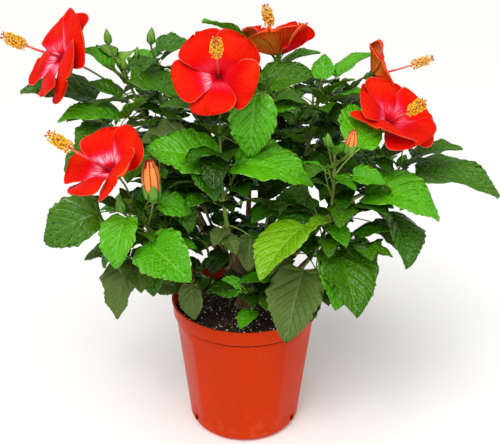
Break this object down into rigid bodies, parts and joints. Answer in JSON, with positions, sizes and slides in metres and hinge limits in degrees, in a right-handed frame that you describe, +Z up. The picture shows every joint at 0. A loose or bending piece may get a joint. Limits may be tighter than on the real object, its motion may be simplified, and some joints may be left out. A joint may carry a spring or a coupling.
{
  "type": "hibiscus shrub",
  "caption": "Leafy hibiscus shrub in a round plastic nursery pot, with a short trunk, arching boughs, glossy leaves, buds and wide red blooms.",
  "frame": {"origin": "middle of the pot's flat underside", "axes": "+Z up along the pot's axis, -Y towards the show side, +X to the right as seen from it"},
  "size_m": [0.7547, 0.5017, 0.7124],
  "materials": {
    "pot_plastic": "satin",
    "potting_mix": "matte",
    "bark": "matte",
    "foliage": "satin",
    "petals": "satin"
  },
  "bodies": {
    "root": {"pot": "pot_plastic", "soil": "potting_mix", "trunk": "bark", "bough_left": "bark", "bough_right": "bark", "bough_far_right": "bark", "bough_back_left": "bark", "bough_back_right": "bark", "bough_upper_left": "bark", "bough_front": "bark", "bough_upper_right": "bark", "bough_back": "bark", "foliage_left": "foliage", "foliage_upper_left": "foliage", "foliage_front": "foliage", "foliage_right": "foliage", "foliage_far_right": "foliage", "foliage_upper_right": "foliage", "foliage_back": "foliage", "foliage_back_left": "foliage", "foliage_back_right": "foliage", "foliage_inner_left": "foliage", "foliage_inner_right": "foliage", "foliage_low_front": "foliage", "foliage_low_back": "foliage", "bloom_far_left": "petals", "bloom_left": "petals", "bloom_front": "petals", "bloom_top": "petals", "bloom_upper_right": "petals", "bloom_right": "petals"}
  },
  "joints": []
}
